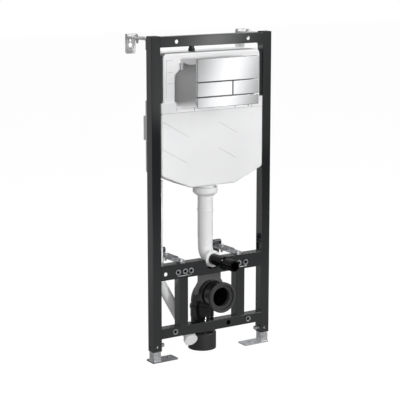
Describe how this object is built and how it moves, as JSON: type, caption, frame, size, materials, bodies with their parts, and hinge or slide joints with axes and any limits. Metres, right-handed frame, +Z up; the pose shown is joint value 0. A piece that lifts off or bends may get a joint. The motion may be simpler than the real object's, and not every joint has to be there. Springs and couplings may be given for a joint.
{
  "type": "wall hung toilet frame",
  "caption": "Steel carrier frame for a wall hung toilet pan, with concealed cistern, dual flush plate, flush pipe, waste bend, wall brackets and telescopic feet.",
  "frame": {"origin": "floor level, midway between the two floor anchor holes", "axes": "+Z up, +Y towards the wall behind the frame, +X to the right seen from the front"},
  "size_m": [0.504, 0.318, 1.155],
  "materials": {
    "frame_paint": "satin powder coat, charcoal grey",
    "zinc_plate": "bright zinc plating, slightly clouded",
    "cap_plastic": "matt black moulded",
    "tank_plastic": "white blow-moulded, satin",
    "cover_plastic": "mid grey moulded",
    "valve_plastic": "black moulded",
    "plate_chrome": "bright mirror chrome",
    "plate_back": "dark grey moulded",
    "rod_steel": "zinc-plated threaded rod",
    "pipe_plastic": "white extruded, semi-gloss",
    "spigot_plastic": "black moulded, gloss",
    "bend_plastic": "black moulded, semi-gloss",
    "outlet_plastic": "dark grey-brown moulded",
    "seal_rubber": "grey-black rubber lip",
    "holder_paint": "grey powder coat",
    "conduit_plastic": "white extruded, semi-gloss"
  },
  "bodies": {
    "feet": {"left_foot": "zinc_plate", "right_foot": "zinc_plate"},
    "frame": {"access_cover": "cover_plastic", "access_sill": "tank_plastic", "bend_holder": "holder_paint", "bottom_rail": "frame_paint", "bracket_bolts": "zinc_plate", "cistern_tank": "tank_plastic", "conduit_cap": "conduit_plastic", "conduit_clip": "zinc_plate", "cross_rail": "frame_paint", "flush_elbow": "pipe_plastic", "flush_pipe": "pipe_plastic", "flush_pipe_nut": "pipe_plastic", "flush_plate_base": "plate_back", "flush_plate_bottom": "plate_chrome", "flush_plate_top": "plate_chrome", "flush_spigot": "spigot_plastic", "foot_clamp_screws": "zinc_plate", "inlet_valve": "valve_plastic", "left_post": "frame_paint", "left_tank_bracket": "frame_paint", "left_upright": "frame_paint", "lower_bushes": "zinc_plate", "mid_left_arm": "zinc_plate", "mid_left_bracket": "zinc_plate", "mid_right_arm": "zinc_plate", "mid_right_bracket": "zinc_plate", "plate_fixing_rods": "rod_steel", "right_post": "frame_paint", "right_tank_bracket": "frame_paint", "right_upright": "frame_paint", "service_conduit": "conduit_plastic", "spigot_cuff": "pipe_plastic", "stud_bushes": "zinc_plate", "stud_plates": "frame_paint", "top_left_arm": "zinc_plate", "top_left_bracket": "zinc_plate", "top_rail": "frame_paint", "top_right_arm": "zinc_plate", "top_right_bracket": "zinc_plate", "upright_caps": "cap_plastic", "waste_bend": "bend_plastic", "waste_inlet_seal": "seal_rubber", "waste_outlet": "outlet_plastic"},
    "full_flush": {"full_flush_button": "plate_chrome", "full_flush_rod": "rod_steel"},
    "half_flush": {"half_flush_button": "plate_chrome", "half_flush_rod": "rod_steel"}
  },
  "joints": [
    {"name": "height_adjust", "type": "slide", "parent": "feet", "child": "frame", "axis": [0, 0, 1], "range_m": [0, 0.16]},
    {"name": "full_flush_press", "type": "slide", "parent": "frame", "child": "full_flush", "axis": [0, 1, 0], "range_m": [0, 0.006], "stiffness_N_per_m": 900, "springref_m": -0.004},
    {"name": "half_flush_press", "type": "slide", "parent": "frame", "child": "half_flush", "axis": [0, 1, 0], "range_m": [0, 0.006], "stiffness_N_per_m": 900, "springref_m": -0.004}
  ]
}
